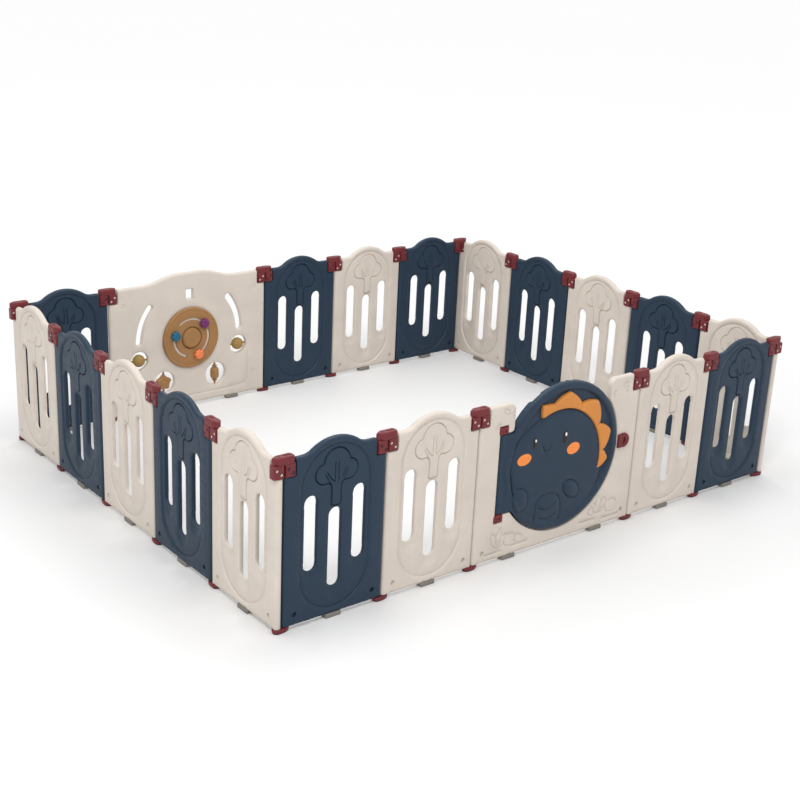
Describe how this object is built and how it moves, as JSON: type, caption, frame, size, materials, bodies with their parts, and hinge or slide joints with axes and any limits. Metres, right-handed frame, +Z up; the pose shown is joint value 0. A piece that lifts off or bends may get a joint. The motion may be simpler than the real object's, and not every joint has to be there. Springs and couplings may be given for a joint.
{
  "type": "folding playpen",
  "caption": "Free-standing folding playpen of moulded panels on two-pin hinges, with a round swinging gate door and an activity panel of spinning and sliding toys.",
  "frame": {"origin": "centre of the rectangle that the pen covers, on the floor", "axes": "+X along the gate side, to the right as seen from outside the gate; +Y from the gate side to the activity side; +Z up"},
  "size_m": [2.354, 1.921, 0.604],
  "materials": {
    "cream_plastic": "satin moulded polyethylene, warm cream",
    "navy_plastic": "satin moulded polyethylene, slate navy",
    "maroon_plastic": "satin moulded plastic, maroon",
    "orange_plastic": "satin moulded plastic, orange",
    "black_print": "smooth black",
    "cheek_print": "smooth orange",
    "ochre_plastic": "satin moulded plastic, ochre brown",
    "olive_plastic": "satin moulded plastic, olive gold",
    "purple_plastic": "satin moulded plastic, purple",
    "teal_plastic": "satin moulded plastic, teal",
    "coral_plastic": "satin moulded plastic, coral"
  },
  "bodies": {
    "gate": {"gate_frame": "cream_plastic", "door_hinge_clip_upper": "maroon_plastic", "door_hinge_clip_lower": "maroon_plastic", "front_hinge_2": "maroon_plastic", "front_hinge_3": "maroon_plastic"},
    "front_panel_2": {"front_panel_2": "cream_plastic"},
    "front_hinge_1": {"front_hinge_1": "maroon_plastic"},
    "front_panel_1": {"front_panel_1": "navy_plastic"},
    "front_left_corner_hinge": {"front_left_corner_hinge": "maroon_plastic"},
    "left_panel_5": {"left_panel_5": "cream_plastic"},
    "left_hinge_4": {"left_hinge_4": "maroon_plastic"},
    "left_panel_4": {"left_panel_4": "navy_plastic"},
    "left_hinge_3": {"left_hinge_3": "maroon_plastic"},
    "left_panel_3": {"left_panel_3": "cream_plastic"},
    "left_hinge_2": {"left_hinge_2": "maroon_plastic"},
    "left_panel_2": {"left_panel_2": "navy_plastic"},
    "left_hinge_1": {"left_hinge_1": "maroon_plastic"},
    "left_panel_1": {"left_panel_1": "cream_plastic"},
    "back_left_corner_hinge": {"back_left_corner_hinge": "maroon_plastic"},
    "back_panel_4": {"back_panel_4": "navy_plastic"},
    "activity": {"activity_panel": "cream_plastic", "back_hinge_3": "maroon_plastic", "back_hinge_4": "maroon_plastic"},
    "back_panel_3": {"back_panel_3": "navy_plastic"},
    "back_hinge_2": {"back_hinge_2": "maroon_plastic"},
    "back_panel_2": {"back_panel_2": "cream_plastic"},
    "back_hinge_1": {"back_hinge_1": "maroon_plastic"},
    "back_panel_1": {"back_panel_1": "navy_plastic"},
    "front_panel_3": {"front_panel_3": "cream_plastic"},
    "front_hinge_4": {"front_hinge_4": "maroon_plastic"},
    "front_panel_4": {"front_panel_4": "navy_plastic"},
    "front_right_corner_hinge": {"front_right_corner_hinge": "maroon_plastic"},
    "right_panel_1": {"right_panel_1": "cream_plastic"},
    "right_hinge_1": {"right_hinge_1": "maroon_plastic"},
    "right_panel_2": {"right_panel_2": "navy_plastic"},
    "right_hinge_2": {"right_hinge_2": "maroon_plastic"},
    "right_panel_3": {"right_panel_3": "cream_plastic"},
    "right_hinge_3": {"right_hinge_3": "maroon_plastic"},
    "right_panel_4": {"right_panel_4": "navy_plastic"},
    "right_hinge_4": {"right_hinge_4": "maroon_plastic"},
    "right_panel_5": {"right_panel_5": "cream_plastic", "back_right_corner_hinge": "maroon_plastic"},
    "door": {"gate_door": "navy_plastic", "door_crest": "orange_plastic", "door_eye_left": "black_print", "door_eye_right": "black_print", "door_cheek_left": "cheek_print", "door_cheek_right": "cheek_print"},
    "latch": {"door_latch": "maroon_plastic"},
    "turntable": {"turntable": "ochre_plastic", "turntable_hub": "ochre_plastic"},
    "purple_knob": {"purple_knob": "purple_plastic"},
    "teal_knob": {"teal_knob": "teal_plastic"},
    "coral_knob": {"coral_knob": "coral_plastic"},
    "spinning_ball_left": {"spinning_ball_left": "olive_plastic"},
    "spinning_ball_right": {"spinning_ball_right": "olive_plastic"},
    "spinning_star": {"spinning_star": "ochre_plastic"},
    "spinning_drum": {"spinning_drum": "ochre_plastic"}
  },
  "joints": [
    {"name": "door_swing", "type": "hinge", "parent": "gate", "child": "door", "pos_m": [-0.2745, -0.9385, 0.3], "axis": [0, 0, -1], "range_deg": [0, 90]},
    {"name": "latch_slide", "type": "slide", "parent": "gate", "child": "latch", "axis": [1, 0, 0], "range_m": [0, 0.012]},
    {"name": "turntable_spin", "type": "hinge", "parent": "activity", "child": "turntable", "pos_m": [-0.38, 0.9335, 0.316], "axis": [0, -1, 0], "continuous": true},
    {"name": "purple_knob_track", "type": "hinge", "parent": "turntable", "child": "purple_knob", "pos_m": [-0.38, 0.9335, 0.316], "axis": [0, -1, 0], "range_deg": [0, 70]},
    {"name": "teal_knob_track", "type": "hinge", "parent": "turntable", "child": "teal_knob", "pos_m": [-0.38, 0.9335, 0.316], "axis": [0, -1, 0], "range_deg": [0, 70]},
    {"name": "coral_knob_track", "type": "hinge", "parent": "turntable", "child": "coral_knob", "pos_m": [-0.38, 0.9335, 0.316], "axis": [0, -1, 0], "range_deg": [0, 70]},
    {"name": "ball_left_spin", "type": "hinge", "parent": "activity", "child": "spinning_ball_left", "pos_m": [-0.623, 0.9335, 0.246], "axis": [1, 0, 0], "continuous": true},
    {"name": "ball_right_spin", "type": "hinge", "parent": "activity", "child": "spinning_ball_right", "pos_m": [-0.137, 0.9335, 0.246], "axis": [1, 0, 0], "continuous": true},
    {"name": "star_spin", "type": "hinge", "parent": "activity", "child": "spinning_star", "pos_m": [-0.507, 0.9335, 0.129], "axis": [0, 0, 1], "continuous": true},
    {"name": "drum_spin", "type": "hinge", "parent": "activity", "child": "spinning_drum", "pos_m": [-0.253, 0.9335, 0.129], "axis": [0, 0, 1], "continuous": true},
    {"name": "gate_to_front_panel_2", "type": "hinge", "parent": "gate", "child": "front_panel_2", "pos_m": [-0.394, -0.9385, 0], "axis": [0, 0, 1], "range_deg": [0, 30]},
    {"name": "front_panel_2_to_front_hinge_1", "type": "hinge", "parent": "front_panel_2", "child": "front_hinge_1", "pos_m": [-0.746, -0.9385, 0], "axis": [0, 0, -1], "range_deg": [-30, 0]},
    {"name": "front_hinge_1_to_front_panel_1", "type": "hinge", "parent": "front_hinge_1", "child": "front_panel_1", "pos_m": [-0.774, -0.9385, 0], "axis": [0, 0, 1], "range_deg": [0, 30]},
    {"name": "front_panel_1_to_front_left_corner", "type": "hinge", "parent": "front_panel_1", "child": "front_left_corner_hinge", "pos_m": [-1.126, -0.9385, 0], "axis": [0, 0, -1], "range_deg": [-30, 0]},
    {"name": "front_left_corner_to_left_panel_5", "type": "hinge", "parent": "front_left_corner_hinge", "child": "left_panel_5", "pos_m": [-1.154, -0.9385, 0], "axis": [0, 0, 1], "range_deg": [0, 30]},
    {"name": "left_panel_5_to_left_hinge_4", "type": "hinge", "parent": "left_panel_5", "child": "left_hinge_4", "pos_m": [-1.154, -0.5865, 0], "axis": [0, 0, -1], "range_deg": [-30, 0]},
    {"name": "left_hinge_4_to_left_panel_4", "type": "hinge", "parent": "left_hinge_4", "child": "left_panel_4", "pos_m": [-1.154, -0.5585, 0], "axis": [0, 0, 1], "range_deg": [0, 30]},
    {"name": "left_panel_4_to_left_hinge_3", "type": "hinge", "parent": "left_panel_4", "child": "left_hinge_3", "pos_m": [-1.154, -0.2065, 0], "axis": [0, 0, -1], "range_deg": [-30, 0]},
    {"name": "left_hinge_3_to_left_panel_3", "type": "hinge", "parent": "left_hinge_3", "child": "left_panel_3", "pos_m": [-1.154, -0.1785, 0], "axis": [0, 0, 1], "range_deg": [0, 30]},
    {"name": "left_panel_3_to_left_hinge_2", "type": "hinge", "parent": "left_panel_3", "child": "left_hinge_2", "pos_m": [-1.154, 0.1735, 0], "axis": [0, 0, -1], "range_deg": [-30, 0]},
    {"name": "left_hinge_2_to_left_panel_2", "type": "hinge", "parent": "left_hinge_2", "child": "left_panel_2", "pos_m": [-1.154, 0.2015, 0], "axis": [0, 0, 1], "range_deg": [0, 30]},
    {"name": "left_panel_2_to_left_hinge_1", "type": "hinge", "parent": "left_panel_2", "child": "left_hinge_1", "pos_m": [-1.154, 0.5535, 0], "axis": [0, 0, -1], "range_deg": [-30, 0]},
    {"name": "left_hinge_1_to_left_panel_1", "type": "hinge", "parent": "left_hinge_1", "child": "left_panel_1", "pos_m": [-1.154, 0.5815, 0], "axis": [0, 0, 1], "range_deg": [0, 30]},
    {"name": "left_panel_1_to_back_left_corner", "type": "hinge", "parent": "left_panel_1", "child": "back_left_corner_hinge", "pos_m": [-1.154, 0.9335, 0], "axis": [0, 0, -1], "range_deg": [-30, 0]},
    {"name": "back_left_corner_to_back_panel_4", "type": "hinge", "parent": "back_left_corner_hinge", "child": "back_panel_4", "pos_m": [-1.126, 0.9335, 0], "axis": [0, 0, 1], "range_deg": [0, 30]},
    {"name": "back_panel_4_to_activity", "type": "hinge", "parent": "back_panel_4", "child": "activity", "pos_m": [-0.774, 0.9335, 0], "axis": [0, 0, -1], "range_deg": [-30, 0]},
    {"name": "activity_to_back_panel_3", "type": "hinge", "parent": "activity", "child": "back_panel_3", "pos_m": [0.014, 0.9335, 0], "axis": [0, 0, 1], "range_deg": [0, 30]},
    {"name": "back_panel_3_to_back_hinge_2", "type": "hinge", "parent": "back_panel_3", "child": "back_hinge_2", "pos_m": [0.366, 0.9335, 0], "axis": [0, 0, -1], "range_deg": [-30, 0]},
    {"name": "back_hinge_2_to_back_panel_2", "type": "hinge", "parent": "back_hinge_2", "child": "back_panel_2", "pos_m": [0.394, 0.9335, 0], "axis": [0, 0, 1], "range_deg": [0, 30]},
    {"name": "back_panel_2_to_back_hinge_1", "type": "hinge", "parent": "back_panel_2", "child": "back_hinge_1", "pos_m": [0.746, 0.9335, 0], "axis": [0, 0, -1], "range_deg": [-30, 0]},
    {"name": "back_hinge_1_to_back_panel_1", "type": "hinge", "parent": "back_hinge_1", "child": "back_panel_1", "pos_m": [0.774, 0.9335, 0], "axis": [0, 0, 1], "range_deg": [0, 30]},
    {"name": "gate_to_front_panel_3", "type": "hinge", "parent": "gate", "child": "front_panel_3", "pos_m": [0.394, -0.9385, 0], "axis": [0, 0, -1], "range_deg": [0, 30]},
    {"name": "front_panel_3_to_front_hinge_4", "type": "hinge", "parent": "front_panel_3", "child": "front_hinge_4", "pos_m": [0.746, -0.9385, 0], "axis": [0, 0, 1], "range_deg": [-30, 0]},
    {"name": "front_hinge_4_to_front_panel_4", "type": "hinge", "parent": "front_hinge_4", "child": "front_panel_4", "pos_m": [0.774, -0.9385, 0], "axis": [0, 0, -1], "range_deg": [0, 30]},
    {"name": "front_panel_4_to_front_right_corner", "type": "hinge", "parent": "front_panel_4", "child": "front_right_corner_hinge", "pos_m": [1.126, -0.9385, 0], "axis": [0, 0, 1], "range_deg": [-30, 0]},
    {"name": "front_right_corner_to_right_panel_1", "type": "hinge", "parent": "front_right_corner_hinge", "child": "right_panel_1", "pos_m": [1.154, -0.9385, 0], "axis": [0, 0, -1], "range_deg": [0, 30]},
    {"name": "right_panel_1_to_right_hinge_1", "type": "hinge", "parent": "right_panel_1", "child": "right_hinge_1", "pos_m": [1.154, -0.5865, 0], "axis": [0, 0, 1], "range_deg": [-30, 0]},
    {"name": "right_hinge_1_to_right_panel_2", "type": "hinge", "parent": "right_hinge_1", "child": "right_panel_2", "pos_m": [1.154, -0.5585, 0], "axis": [0, 0, -1], "range_deg": [0, 30]},
    {"name": "right_panel_2_to_right_hinge_2", "type": "hinge", "parent": "right_panel_2", "child": "right_hinge_2", "pos_m": [1.154, -0.2065, 0], "axis": [0, 0, 1], "range_deg": [-30, 0]},
    {"name": "right_hinge_2_to_right_panel_3", "type": "hinge", "parent": "right_hinge_2", "child": "right_panel_3", "pos_m": [1.154, -0.1785, 0], "axis": [0, 0, -1], "range_deg": [0, 30]},
    {"name": "right_panel_3_to_right_hinge_3", "type": "hinge", "parent": "right_panel_3", "child": "right_hinge_3", "pos_m": [1.154, 0.1735, 0], "axis": [0, 0, 1], "range_deg": [-30, 0]},
    {"name": "right_hinge_3_to_right_panel_4", "type": "hinge", "parent": "right_hinge_3", "child": "right_panel_4", "pos_m": [1.154, 0.2015, 0], "axis": [0, 0, -1], "range_deg": [0, 30]},
    {"name": "right_panel_4_to_right_hinge_4", "type": "hinge", "parent": "right_panel_4", "child": "right_hinge_4", "pos_m": [1.154, 0.5535, 0], "axis": [0, 0, 1], "range_deg": [-30, 0]},
    {"name": "right_hinge_4_to_right_panel_5", "type": "hinge", "parent": "right_hinge_4", "child": "right_panel_5", "pos_m": [1.154, 0.5815, 0], "axis": [0, 0, -1], "range_deg": [0, 30]}
  ]
}
